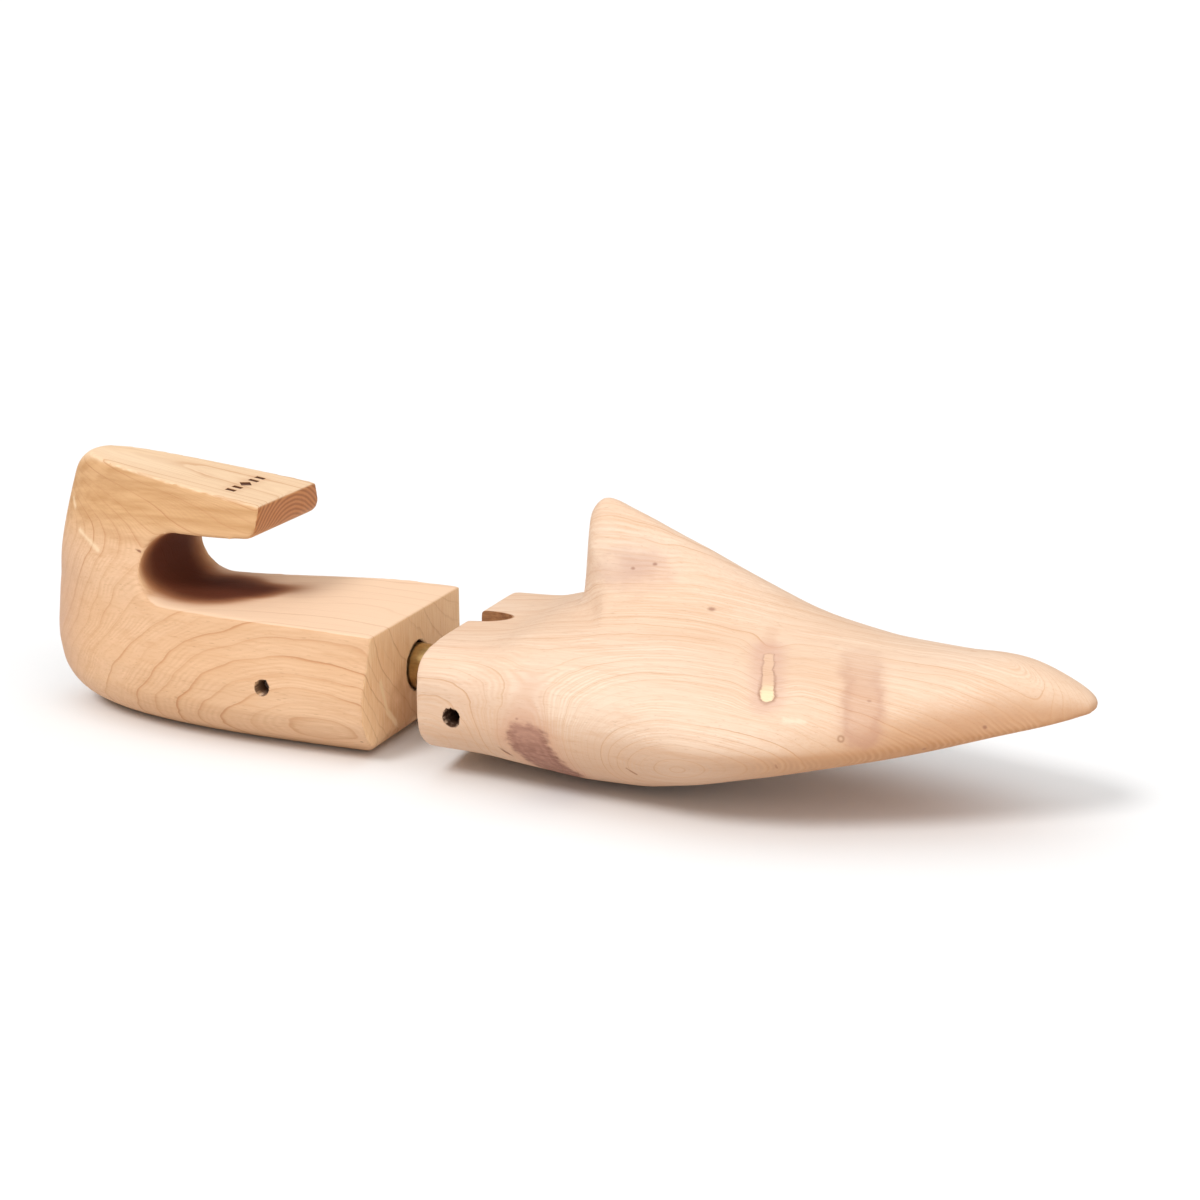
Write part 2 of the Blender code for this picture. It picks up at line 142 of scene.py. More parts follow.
# Heel block and hook, by height: lateral and medial edges, back and front ends.
HEEL = {
    "lateral": [(0, -18.0), (0.8, -21.0), (2, -23.0), (5.3, -27.8), (9, -31.2), (13, -32.8),
                (18, -32.6), (22, -31.4), (27.4, -29.2), (34, -26.9), (40, -24.8), (46, -21.6),
                (52, -18.6), (57, -16.6), (62, -14.9), (66, -14.2), (72, -12.5)],
    "medial": [(0, 16.0), (0.8, 19.0), (2, 21.0), (5.3, 24.5), (9, 26.6), (13, 27.4),
               (18, 27.6), (34, 27.2), (40, 25.2), (46, 21.6), (52, 18.6), (57, 17.0),
               (62, 15.3), (66, 12.9), (72, 10.8)],
    "back": [(0, -91.0), (0.8, -94.5), (2.2, -98.0), (6.8, -102.6), (14.7, -105.8),
             (23.3, -107.4), (32, -107.8), (40.7, -107.1), (49.5, -105.4), (58, -103.2),
             (63.8, -101.3), (67.7, -98.8), (70, -95.5), (72, -90.0)],
    "front": [(0, -6.5), (0.8, -4.2), (2, -2.6), (5.3, -0.6), (8, 0.0), (72, 0.0)],
}
HEEL_TOP = 72.0
HEEL_WAIST_X = -30.0
SLOT_X = -62.6
SLOT_Z = 43.4
SLOT_R = 8.8
HOOK_FRONT_X = -37.2
HOOK_TOP_Z = 61.5
HOOK_SLOPE = 0.142
HOOK_UNDERSIDE = [(-37.8, 54.5), (-39.6, 52.9), (-50.0, 52.4)]
BLOCK_TOP = [(-45.0, 34.4), (-20.0, 34.0), (0.0, 33.5)]
PAST_BACK_X, PAST_HOOK_X, PAST_FRONT_X = -130.0, -10.0, 20.0
MEDIAL_TAPER = [(-107.8, 0.42), (-66, 0.42), (-56, 0.40), (-45, 0.31), (-31, 0.185), (-17, 0.07),
                (-8, 0.035), (0, 0.02)]
MEDIAL_TAPER_Z = (44.0, 55.0)
HEEL_SQUARENESS = (2.2, 2.8)
HEEL_SQUARE_Z = (35.0, 60.0)
FRONT_TAPER = 0.02
MARK_X = -50.0

# Camera, on the photographed side of the tree: a studio lens looking down at it.
CAMERA_PLACE = (0.22027, -0.49814, 0.19848)
CAMERA_YAW = -21.90
CAMERA_PITCH = 16.0
CAMERA_LENS = 67.35

# A broad light overhead, a key light from the upper left and a wide fill from the right.
# Each: name, the way its light travels, strength, width in degrees.
LIGHTS = (("overhead", (0.0, 0.0, -1.0), 1.45, 96.0), ("key", (0.24, 0.60, -0.76), 1.45, 20.0),
          ("fill", (-0.70, 0.50, -0.50), 0.80, 60.0))
SKY = 0.34

# Fineness of the carved skin, sides of a turned tube, and cutters longer and taller than the part.
VOXEL = 0.65
TUBE_SIDES = 96
REACH = 60.0
TALL = 95.0


# ------------------------------------------------------------------ drawing
def curve(knots, x):
    """Smooth curve through (position, value) knots that never overshoots them."""
    xs, ys = np.array(knots, float).T
    x = np.clip(np.asarray(x, float), xs[0], xs[-1])
    gaps = np.diff(xs)
    slopes = np.diff(ys) / gaps
    tangents = np.zeros(len(xs))
    tangents[0], tangents[-1] = slopes[0], slopes[-1]
    for i in range(1, len(xs) - 1):
        if slopes[i - 1] * slopes[i] > 0:
            before = 2 * gaps[i] + gaps[i - 1]
            after = gaps[i] + 2 * gaps[i - 1]
            tangents[i] = (before + after) / (before / slopes[i - 1] + after / slopes[i])
    i = np.clip(np.searchsorted(xs, x, side="right") - 1, 0, len(gaps) - 1)
    h = gaps[i]
    t = (x - xs[i]) / h
    return ((1 + 2 * t) * (1 - t) ** 2 * ys[i] + t * (1 - t) ** 2 * h * tangents[i]
            + t * t * (3 - 2 * t) * ys[i + 1] + t * t * (t - 1) * h * tangents[i + 1])


def power(value, exponent):
    return np.sign(value) * np.abs(value) ** exponent


def fore_rings(stations, count):
    """Cross-sections of the forepart: squarish ovals with the instep ridge on top."""
    p = {name: curve(knots, stations)[:, None] for name, knots in FORE.items()}
    run = np.clip((stations - TOE_START) / (TOE_X - TOE_START), 0, 1)[:, None]
    toe = np.sqrt(1 - run ** TOE_POWER)
    angle = 2 * math.pi * np.arange(count)[None, :] / count
    c, s = np.cos(angle), np.sin(angle)
    up = s >= 0
    upper = np.where(c > 0, p["medial_n"], p["upper_n"])
    exponent = 2 / np.where(up, upper, p["lower_n"])
    rise = np.where(up, p["crown"] - p["side"], p["side"] - p["bottom"])
    y = (p["lateral"] + p["medial"]) / 2 + (p["medial"] - p["lateral"]) / 2 * power(c, exponent)
    z = p["side"] + toe * rise * power(s, exponent)
    spread = ((y - p["ridge_y"]) / p["ridge_w"]) ** 2
    sweep = np.clip((FIN_SWEEP_END - stations) / FIN_SWEEP_RUN, 0, 1)[:, None]
    fin = curve(FORE["ridge"], stations[:, None] - FIN_SWEEP * spread * sweep) * np.exp(-spread)
    z = z + np.where(up, toe * fin * np.clip(3 * s, 0, 1), 0)
    x = np.broadcast_to(stations[:, None], y.shape)
    return np.stack([x, y, z], 2)


def heel_rings(levels, count):
    """Levels of the heel block: flat front, straight cheeks, rounded back."""
    lateral, medial, back, front = (curve(HEEL[name], levels)[:, None]
                                    for name in ("lateral", "medial", "back", "front"))
    mid = (lateral + medial) / 2
    half = (medial - lateral) / 2
    low, high = HEEL_SQUARE_Z
    blend = np.clip((levels - low) / (high - low), 0, 1)[:, None]
    e = 2 / (HEEL_SQUARENESS[0] + (HEEL_SQUARENESS[1] - HEEL_SQUARENESS[0]) * blend)
    cheek = np.linspace(1, 0, count // 4, endpoint=False)[None, :]
    cheek_x = HEEL_WAIST_X + (front - HEEL_WAIST_X) * cheek
    cheek_wide = np.broadcast_to(1 - FRONT_TAPER * cheek ** 2, cheek_x.shape)
    angle = math.pi * np.arange(count + 1)[None, :] / count
    round_x = HEEL_WAIST_X + (back - HEEL_WAIST_X) * np.abs(np.sin(angle)) ** e
    round_wide = power(np.cos(angle), e)
    x = np.hstack([cheek_x, round_x, cheek_x[:, ::-1]])
    across = np.hstack([-cheek_wide, -round_wide, cheek_wide[:, ::-1]])
    low, high = MEDIAL_TAPER_Z
    slim = 1 - np.clip((levels - low) / (high - low), 0, 1)[:, None]
    across = across * np.where(across > 0, 1 - slim * curve(MEDIAL_TAPER, x), 1)
    y = mid + half * across
    z = np.broadcast_to(levels[:, None], x.shape)
    return np.stack([x, y, z], 2)


def link(name, mesh):
    obj = bpy.data.objects.new(name, mesh)
    bpy.context.scene.collection.objects.link(obj)
    return obj


def from_bmesh(bm, name):
    bmesh.ops.recalc_face_normals(bm, faces=bm.faces)
    mesh = bpy.data.meshes.new(name)
    bm.to_mesh(mesh)
    bm.free()
    return link(name, mesh)


def loft(name, rings):
    """Closed skin over rings of equal length, with flat ends."""
    rows, count = rings.shape[:2]
    i = np.arange(count)
    j = (i + 1) % count
    faces = []
    for row in range(rows - 1):
        a = row * count
        faces += np.stack([a + i, a + j, a + count + j, a + count + i], 1).tolist()
    faces.append(list(range(count)))
    faces.append(list(range((rows - 1) * count, rows * count)))
    mesh = bpy.data.meshes.new(name)
    mesh.from_pydata(rings.reshape(-1, 3).tolist(), [], faces)
    bm = bmesh.new()
    bm.from_mesh(mesh)
    bpy.data.meshes.remove(mesh)
    return from_bmesh(bm, name)


def prism(name, profile, low, high, axis):
    """Profile pushed from low to high along Y or Z."""
    u, v = np.array(profile, float).T
    rings = []
    for d in (low, high):
        flat = np.full_like(u, d)
        rings.append(np.stack((u, flat, v) if axis == "Y" else (u, v, flat), 1))
    return loft(name, np.array(rings))


def arc(cx, cz, radius, first, last, steps):
    w = np.radians(np.linspace(first, last, steps + 1))
    return list(zip(cx + radius * np.cos(w), cz + radius * np.sin(w)))


def drill(name, stops, axis, other, seed=0, chips=0.0):
    """Cutter turned round X or Y from (distance, radius, raggedness) stops, chipped by seeded waves."""
    sides = 144
    w = 2 * math.pi * np.arange(sides) / sides
    random = np.random.default_rng(seed)
    waves = np.zeros(sides)
    for k in range(3, 24):
        waves += random.normal() / k ** 0.7 * np.cos(k * w + random.uniform(0, 2 * math.pi))
    waves = np.clip(waves / np.abs(waves).max(), -0.3, 1)
    rings = []
    for d, radius, ragged in stops:
        r = radius + chips * ragged * waves
        a, b = other[0] + r * np.cos(w), other[1] + r * np.sin(w)
        along = np.full(sides, d)
        rings.append(np.stack([along, a, b] if axis == "X" else [a, along, b], 1))
    return loft(name, np.array(rings))


# ------------------------------------------------------------------ carving
def apply_modifiers(obj):
    bpy.context.view_layer.update()
    graph = bpy.context.evaluated_depsgraph_get()
    mesh = bpy.data.meshes.new_from_object(obj.evaluated_get(graph))
    old = obj.data
    obj.modifiers.clear()
    obj.data = mesh
    bpy.data.meshes.remove(old)


def cut(body, cutter, operation="DIFFERENCE"):
    mod = body.modifiers.new("cut", "BOOLEAN")
    mod.operation = operation
    mod.solver = "EXACT"
    mod.object = cutter
    apply_modifiers(body)
    bpy.data.objects.remove(cutter)


def remesh(body):
    mod = body.modifiers.new("remesh", "REMESH")
    mod.mode = "VOXEL"
    mod.voxel_size = VOXEL
    apply_modifiers(body)


def coords(obj):
    co = np.empty(len(obj.data.vertices) * 3)
    obj.data.vertices.foreach_get("co", co)
    return co.reshape(-1, 3)


def sand(body, rounds, weight):
    """Even out the surface; weight(points) says how much, from 0 to 1."""
    mesh = body.data
    ends = np.empty(len(mesh.edges) * 2, int)
    mesh.edges.foreach_get("vertices", ends)
    a, b = ends.reshape(-1, 2).T
    co = coords(body)
    near = np.bincount(a, minlength=len(co)) + np.bincount(b, minlength=len(co))
    share = weight(co)[:, None] * 0.5
    for _ in range(rounds):
        total = np.stack([np.bincount(a, co[b, k], len(co)) + np.bincount(b, co[a, k], len(co))
                          for k in range(3)], 1)
        co = co + share * (total / near[:, None] - co)
    mesh.vertices.foreach_set("co", co.ravel())
    mesh.update()


def place(obj, angle=38.0):
    """Drawing millimetres to row metres, shaded smooth with crisp edges."""
    obj.data.transform(Matrix.Translation(ORIGIN) @ Matrix.Scale(MM, 4))
    obj.data.shade_smooth()
    obj.data.set_sharp_from_angle(angle=math.radians(angle))
    obj.data.update()
    return obj


def hook_top(x):
    return HOOK_TOP_Z + HOOK_SLOPE * (HOOK_FRONT_X - x)


def burned_mark(body):
    """A maker's burn with no letters: a lozenge between two pairs of bars, pressed into the hook."""
    depth = 0.4

    def stamp(outline):
        low = [(x, y, hook_top(x) - depth) for x, y in outline]
        high = [(x, y, hook_top(x) + 2) for x, y in outline]
        cut(body, loft("stamp", np.array([low, high])))

    for side in (-1, 1):
        for offset in (4.2, 7.6):
            y = side * offset
            stamp([(MARK_X - 1.4, y - 0.9), (MARK_X + 1.4, y - 0.9), (MARK_X + 1.4, y + 0.9),
                   (MARK_X - 1.4, y + 0.9)])
    stamp([(MARK_X - 1.9, 0.0), (MARK_X, -2.2), (MARK_X + 1.9, 0.0), (MARK_X, 2.2)])


def make_heel():
    levels = np.r_[0, 0.3, 0.8, 1.4, np.linspace(2, HEEL_TOP, 100)]
    body = loft("heel_wood", heel_rings(levels, 132))
    notch = [(HOOK_FRONT_X, TALL), (HOOK_FRONT_X, HOOK_TOP_Z)] + HOOK_UNDERSIDE
    notch += arc(SLOT_X, SLOT_Z, SLOT_R, 90, 270, 48)
    notch += BLOCK_TOP + [(PAST_FRONT_X, BLOCK_TOP[-1][1]), (PAST_FRONT_X, TALL)]
    cut(body, prism("notch", notch, -REACH, REACH, "Y"))
    top = [(x, hook_top(x)) for x in (PAST_BACK_X, PAST_HOOK_X)]
    top += [(PAST_HOOK_X, TALL), (PAST_BACK_X, TALL)]
    cut(body, prism("top", top, -REACH, REACH, "Y"))
    remesh(body)
    sand(body, 3, lambda p: np.ones(len(p)))

    def soft_lip(p):
        """The slot's mouth and the block's edge below it are sanded round, crisper to the front."""
        lip = np.exp(-((p[:, 2] - 35.5) / 3.5) ** 2) * np.exp(-((p[:, 0] + 58) / 20) ** 2)
        mouth = np.exp(-((np.hypot(p[:, 0] - SLOT_X, p[:, 2] - SLOT_Z) - SLOT_R) / 2.0) ** 2)
        hook = np.exp(-((p[:, 2] - 53.0) / 3.0) ** 2) * 0.5
        return np.clip(lip + 0.7 * mouth * (p[:, 0] < -50) + hook, 0, 1)

    sand(body, 14, soft_lip)
    cut(body, drill("bore", ((HEEL_BORE_X0, HEEL_BORE_R, 0), (-1.6, HEEL_BORE_R, 0),
                             (-0.5, HEEL_BORE_R + 0.1, 0.6), (3, HEEL_BORE_R + 0.15, 1)),
                    "X", (0, TUBE_Z), 4, 0.75))
    cut(body, drill("pin_hole", ((-REACH, 2.15, 1), (-31.4, 2.1, 1), (-30.4, HEEL_PIN_HOLE_R, 0.1),
                                 (HEEL_PIN_END, HEEL_PIN_HOLE_R, 0)),
                    "Y", (HEEL_PIN_X, TUBE_Z), 9, 0.35))
    burned_mark(body)
    return place(body)


def make_fore():
    stations = np.r_[np.linspace(REAR_X, 44, 36, endpoint=False),
                     np.linspace(44, 60, 44, endpoint=False),
                     np.linspace(60, TOE_START, 80, endpoint=False),
                     TOE_X - (TOE_X - TOE_START) * np.linspace(1, 0.02, 50) ** 2]
    body = loft("fore_wood", fore_rings(stations, 200))
    remesh(body)
    sand(body, 4, lambda p: np.ones(len(p)))

    def soft_root(p):
        """The lateral foot of the fin's rear wall runs smoothly into the block's top."""
        near = np.exp(-((p[:, 0] - 47) / 7) ** 2) * np.clip((54 - p[:, 2]) / 10, 0, 1)
        return near * np.clip((3 - p[:, 1]) / 6, 0, 1)

    sand(body, 140, soft_root)
    half = FORE_SLOT_HALF
    slot = [(REAR_X - 10, -half)] + arc(FORE_SLOT_ROUND_X, 0, half, -90, 90, 40)
    slot += [(REAR_X - 10, half)]
    cut(body, prism("slot", slot, FORE_SLOT_FLOOR, FORE_SLOT_ROOF, "Z"))
    mouth = [(REAR_X - 10, -MOUTH_HALF)]
    mouth += [(REAR_X + (MOUTH_END_X - REAR_X) * u, MOUTH_HALF * v)
              for u, v in arc(0, 0, 1, -90, 90, 40)]
    mouth.append((REAR_X - 10, MOUTH_HALF))
    cut(body, prism("mouth", mouth, TUBE_Z, REACH, "Z"))
    cut(body, drill("hinge_hole", ((-REACH, 2.45, 1), (-34.6, 2.4, 1), (-33.2, HINGE_HOLE_R, 0.2),
                                   (HINGE_PIN_END, HINGE_HOLE_R, 0)),
                    "Y", (HINGE_X, TUBE_Z), 21, 0.55))
    return place(body)


def turned(name, profile, sides):
    """Closed ring section (x, radius) turned round the tubes' axis."""
    w = 2 * math.pi * np.arange(sides) / sides
    x, r = np.array(profile, float).T
    ring = np.stack([np.broadcast_to(x[:, None], (len(x), sides)), r[:, None] * np.cos(w),
                     TUBE_Z + r[:, None] * np.sin(w)], 2)
    i = np.arange(sides)
    j = (i + 1) % sides
    faces = []
    for row in range(len(x)):
        a, b = row * sides, (row + 1) % len(x) * sides
        faces += np.stack([a + i, a + j, b + j, b + i], 1).tolist()
    mesh = bpy.data.meshes.new(name)
    mesh.from_pydata(ring.reshape(-1, 3).tolist(), [], faces)
    bm = bmesh.new()
    bm.from_mesh(mesh)
    bpy.data.meshes.remove(mesh)
    return from_bmesh(bm, name)


def tube_profile(x0, x1, radius):
    """Wall of a drawn tube, its cut ends broken by a small chamfer."""
    inner = radius - TUBE_WALL
    c = TUBE_CHAMFER
    return [(x0, radius - c), (x0 + c, radius), (x1 - c, radius), (x1, radius - c),
            (x1, inner + c), (x1 - c, inner), (x0 + c, inner), (x0, inner + c)]


def make_outer_tube():
    body = turned("outer_tube_brass", tube_profile(*OUTER_TUBE_X, OUTER_TUBE_R), TUBE_SIDES)
    cut(body, drill("pin_hole", ((-12, HEEL_PIN_HOLE_R, 0), (12, HEEL_PIN_HOLE_R, 0)),
                    "Y", (HEEL_PIN_X, TUBE_Z)))
    return place(body)


def make_inner_tube():
    past_eye = HINGE_X + 6
    profile = tube_profile(drawn(INNER_LOW).x, past_eye, INNER_TUBE_R)
    body = turned("inner_tube_brass", profile, TUBE_SIDES)
    neck = HINGE_X - EYE_NECK
    edge = INNER_TUBE_R + EYE_SHOULDER
    side = [(-TALL, TUBE_Z - edge), (neck, TUBE_Z - edge)]
    side += arc(HINGE_X, TUBE_Z, EYE_R, -90, 90, 32) + [(neck, TUBE_Z + edge)]
    side += [(-TALL, TUBE_Z + edge)]
    cut(body, prism("eye", side, -15, 15, "Y"), "INTERSECT")
    plan = [(-TALL, -EYE_PLAN_R)] + arc(FORE_SLOT_ROUND_X, 0, EYE_PLAN_R, -90, 90, 32)
    plan += [(-TALL, EYE_PLAN_R)]
    cut(body, prism("plan", plan, 0, 40, "Z"), "INTERSECT")
    travel = TRAVEL / MM + STOP_GAP
    slot = arc(HEEL_PIN_X, TUBE_Z, HEEL_PIN_HOLE_R, 90, 270, 16)
    slot += arc(HEEL_PIN_X + travel, TUBE_Z, HEEL_PIN_HOLE_R, -90, 90, 16)
    cut(body, prism("slot", slot, -12, 12, "Y"))
    cut(body, drill("hinge", ((-12, HINGE_HOLE_R, 0), (12, HINGE_HOLE_R, 0)),
                    "Y", (HINGE_X, TUBE_Z)))
    return place(body)


def make_spring():
    """Compression spring, its end turns closed up."""
    wire, sides, turns = 0.45, 10, 13
    low, high = drawn(SPRING_LOW), drawn(SPRING_HIGH)
    radius = (high.z - low.z) / 2 - wire
    t = np.linspace(0, 1, turns * 36 + 1)
    w = 2 * math.pi * turns * t
    ends = 1.2 / turns
    even = np.clip((t - ends / 2) / (1 - ends), 0, 1)
    x = low.x + wire + (high.x - low.x - 2 * wire) * (0.06 * t + 0.94 * even)
    out = np.stack([np.zeros_like(w), np.cos(w), np.sin(w)], 1)
    centre = radius * out
    centre[:, 0] = x
    centre[:, 2] += TUBE_Z
    v = 2 * math.pi * np.arange(sides) / sides
    along = np.array([1.0, 0, 0])
    rings = (centre[:, None, :] + wire * (out[:, None, :] * np.cos(v)[None, :, None]
                                          + along * np.sin(v)[None, :, None]))
    return place(loft("spring_wire", rings), 80)


# ------------------------------------------------------------------ shader graphs
class Value:
    """A number or colour socket that can be used in sums."""

    def __init__(self, graph, socket):
        self.graph, self.socket = graph, socket

    def math(self, operation, *others):
        return self.graph.math(operation, self, *others)

    def __add__(self, other):
        return self.math("ADD", other)

    def __sub__(self, other):
        return self.math("SUBTRACT", other)

    def __mul__(self, other):
        return self.math("MULTIPLY", other)

    def __truediv__(self, other):
        return self.math("DIVIDE", other)

    def __rsub__(self, other):
        return self.graph.math("SUBTRACT", other, self)

    def __pow__(self, other):
        return self.math("POWER", other)

    __radd__ = __add__

    def ramp(self, low, high):
        """0 below low, 1 above high, smooth between; low may be the larger."""
        if low > high:
            return 1 - self.ramp(high, low)
        node = self.graph.node("ShaderNodeMapRange", {"Value": self, "From Min": low,
                                                      "From Max": high})
        node.interpolation_type = "SMOOTHSTEP"
        return Value(self.graph, node.outputs["Result"])

    def bell(self, centre, width):
        """1 at centre, falling off like a bell of that width."""
        return self.graph.math("EXPONENT", ((self - centre) / width) ** 2.0 * -1.0)


class Graph:
    """Node graph of one material; lengths are drawing millimetres."""

    def __init__(self, name):
        self.material = bpy.data.materials.new(name)
        self.material.use_nodes = True
        self.tree = self.material.node_tree
        self.shader = self.tree.nodes["Principled BSDF"]

    def feed(self, socket, value):
        if isinstance(value, Value):
            self.tree.links.new(value.socket, socket)
        elif isinstance(value, tuple) and len(value) == 3 and socket.type == "RGBA":
            socket.default_value = (*value, 1.0)
        else:
            socket.default_value = value

    def node(self, kind, inputs):
        node = self.tree.nodes.new(kind)
        for name, value in inputs.items():
            self.feed(node.inputs[name], value)
        return node

    def math(self, operation, *values):
        node = self.tree.nodes.new("ShaderNodeMath")
        node.operation = operation
        for socket, value in zip(node.inputs, values):
            self.feed(socket, value)
        return Value(self, node.outputs[0])

    def vector(self, operation, *values):
        node = self.tree.nodes.new("ShaderNodeVectorMath")
        node.operation = operation
        for socket, value in zip(node.inputs, values):
            self.feed(socket, value)
        scalar = operation in ("DOT_PRODUCT", "LENGTH", "DISTANCE")
        return Value(self, node.outputs["Value" if scalar else "Vector"])

    def xyz(self, x, y, z):
        node = self.node("ShaderNodeCombineXYZ", {"X": x, "Y": y, "Z": z})
        return Value(self, node.outputs[0])

    def split(self, vector):
        node = self.node("ShaderNodeSeparateXYZ", {"Vector": vector})
        return [Value(self, s) for s in node.outputs]

    def position(self):
        """The point in drawing millimetres, and the surface's direction, both fixed to the piece."""
        node = self.tree.nodes.new("ShaderNodeTexCoord")
        point = Value(self, node.outputs["Object"])
        point = self.vector("SUBTRACT", point, tuple(ORIGIN))
        point = self.vector("MULTIPLY", point, (1 / MM,) * 3)
        return point, Value(self, node.outputs["Normal"])

    def noise(self, point, cell, detail=2.0, rough=0.5, shift=0.0):
        """Noise about 0, from -0.5 to 0.5, with features of cell (x, y, z) millimetres."""
        scaled = self.vector("MULTIPLY", point, tuple(1 / c for c in cell))
        scaled = self.vector("ADD", scaled, (shift, shift * 1.7, shift * 0.6))
        node = self.node("ShaderNodeTexNoise", {"Vector": scaled, "Scale": 1.0, "Detail": detail,
                                                "Roughness": rough})
        return Value(self, node.outputs["Fac"]) - 0.5

    def dice(self, value):
        """A random number for each whole number."""
        node = self.tree.nodes.new("ShaderNodeTexWhiteNoise")
        node.noise_dimensions = "1D"
        self.feed(node.inputs["W"], value)
        return Value(self, node.outputs["Value"])

    def mix(self, share, first, second):
        node = self.tree.nodes.new("ShaderNodeMix")
        node.data_type = "RGBA"
        sockets = [s for s in node.inputs if s.enabled]
        for socket, value in zip(sockets, (share, first, second)):
            self.feed(socket, value)
        return Value(self, [s for s in node.outputs if s.enabled][0])

    def stroke(self, point, a, b, share=False):
        """Distance to the segment from a to b, and if asked how far along it the point is."""
        ab = Vector(b) - Vector(a)
        away = self.vector("SUBTRACT", point, tuple(a))
        t = self.vector("DOT_PRODUCT", away, tuple(ab)) / ab.length_squared
        t = t.math("MAXIMUM", 0.0).math("MINIMUM", 1.0)
        node = self.node("ShaderNodeVectorMath", {0: tuple(ab)})
        node.operation = "SCALE"
        self.feed(node.inputs["Scale"], t)
        distance = self.vector("DISTANCE", away, Value(self, node.outputs["Vector"]))
        return (distance, t) if share else distance

    def blob(self, point, centre, radii):
        """Distance from centre in radii: 1 on that ellipsoid."""
        away = self.vector("SUBTRACT", point, tuple(centre))
        away = self.vector("MULTIPLY", away, tuple(1 / r for r in radii))
        return self.vector("LENGTH", away)

    def bump(self, height, distance, strength=1.0):
        """Height in millimetres."""
        node = self.node("ShaderNodeBump", {"Height": height, "Strength": strength,
                                            "Distance": distance * MM})
        self.feed(self.shader.inputs["Normal"], Value(self, node.outputs["Normal"]))


def growth_lines(g, rings, sharp, seed, point):
    """Thin late-wood lines at whole ring numbers, each ring with its own strength."""
    phase = rings.math("FRACT")
    whole = rings.math("FLOOR")
    strength = g.dice(whole + seed) * 0.8 + 0.2
    fade = g.noise(point, (38, 14, 14), 2.0, 0.5, seed).ramp(-0.22, 0.16)
    line = phase.ramp(1 - sharp, 0.95) * phase.ramp(1.0, 0.955)
    glow = phase.ramp(0.30, 1.0) * phase.ramp(1.0, 0.955)
    return line * strength * (fade * 0.7 + 0.3), glow * strength


def fine_lines(g, rings, count, seed, point):
    """Faint lines inside each ring, coming and going along the grain."""
    wave = (rings * (count * 2 * math.pi)).math("SINE") * 0.5
    presence = g.noise(point, (16, 6, 6), 2.0, 0.5, seed).ramp(-0.15, 0.2)
    return wave * presence


def wood_base(g, point, light, mid, deep):
    """Slow drifts of colour, and fine fibres along the grain."""
    drift = g.noise(point, (60, 22, 22), 2.0, 0.5, 3.1)
    streak = g.noise(point, (30, 2.2, 2.2), 3.0, 0.55, 8.4)
    fibre = g.noise(point, (11, 0.55, 0.55), 3.0, 0.7, 1.3)
    pore = g.noise(point, (2.6, 0.30, 0.30), 1.0, 0.5, 6.6).ramp(0.14, 0.26)
    colour = g.mix(drift.ramp(-0.2, 0.2), light, mid)
    colour = g.mix(streak.ramp(0.0, 0.3) * 0.40, colour, deep)
    colour = g.mix(streak.ramp(0.0, -0.3) * 0.35, colour, tuple(min(1.0, c * 1.12) for c in light))
    colour = g.mix(fibre.ramp(-0.05, 0.25) * 0.36, colour, deep)
    colour = g.mix(pore * 0.30, colour, tuple(c * 0.62 for c in deep))
    return colour, fibre, streak


def crowded(g, depth, root, even):
    """Ring number by depth under the outermost point: rings crowd there and open out below it."""
    depth = depth.math("MAXIMUM", 0.0)
    return depth.math("SQRT") * root + depth * even


# ------------------------------------------------------------------ materials
LINE = (0.47, 0.200, 0.080)
# Burned wood; round the finger slot these colours also stand for painted shade in the slot and under
# the hook.
CHAR_AND_SHADE = (0.112, 0.025, 0.010)
SCORCH_AND_SHADE = (0.44, 0.165, 0.060)
# Painted shade inside the heel's bore and pin hole, and inside the forepart's hinge hole.
HOLE_SHADE = (0.085, 0.028, 0.012)
DEEP_HOLE_SHADE = (0.050, 0.015, 0.006)
WOOD_SPECULAR = 0.14
WOOD_RELIEF = 0.10

# Growth-ring centres of the heel block and of the hook, and the outermost ring's distance.
BLOCK_PITH = (38.0, 62.0)
BLOCK_OUTER_X = -12.0
BLOCK_BOW = 0.0045
BLOCK_OUTER = 86.9
HOOK_PITH = (2.0, 44.0)

# The forepart's rings are nearly flat layers, outermost where this direction points.
FORE_OUT = (-0.80, -0.60)
FORE_OUTER_X = 88.8
FORE_BOW = 0.0012


def fore_outermost():
    """Distance of the forepart's outermost surface point along FORE_OUT."""
    p = fore_rings(np.linspace(70, 110, 80), 240).reshape(-1, 3)
    out = p[:, 1] * FORE_OUT[0] + p[:, 2] * FORE_OUT[1] - FORE_BOW * (p[:, 0] - FORE_OUTER_X) ** 2
    return float(out.max())


class Surface:
    """Where on a wooden piece a graph looks, and the noises that roughen the marks there."""

    def __init__(self, g, small, grit, cloudy):
        self.point, normal = g.position()
        self.x, self.y, self.z = g.split(self.point)
        self.nx, self.ny, self.nz = g.split(normal)
        self.small = g.noise(self.point, *small)
        self.grit = g.noise(self.point, *grit)
        self.cloudy = g.noise(self.point, *cloudy)


# ------------------------------------------------------------------ heel block's wood
def heel_growth(g, at):
    """Ring numbers, one set in the block and one in the hook, and the share of the hook's set."""
    warp = g.noise(at.point, (46, 20, 20), 2.0, 0.45, 5.0)
    block = g.vector("LENGTH", g.xyz(0.0, at.y - BLOCK_PITH[0], at.z - BLOCK_PITH[1]))
    depth = (BLOCK_OUTER - block) + ((at.x - BLOCK_OUTER_X) ** 2.0) * BLOCK_BOW
    block = crowded(g, depth + 0.5, 1.05, 0.125)
    hook = g.vector("LENGTH", g.xyz(0.0, at.y - HOOK_PITH[0], at.z - HOOK_PITH[1]))
    hook = 20.0 - (hook + at.x * 0.115) * 0.78
    rise = at.z.ramp(44.0, 57.0)
    rings = block * (1 - rise) + hook * rise + warp * (2.2 - rise * 1.3) + at.small * 0.36
    return rings, rise


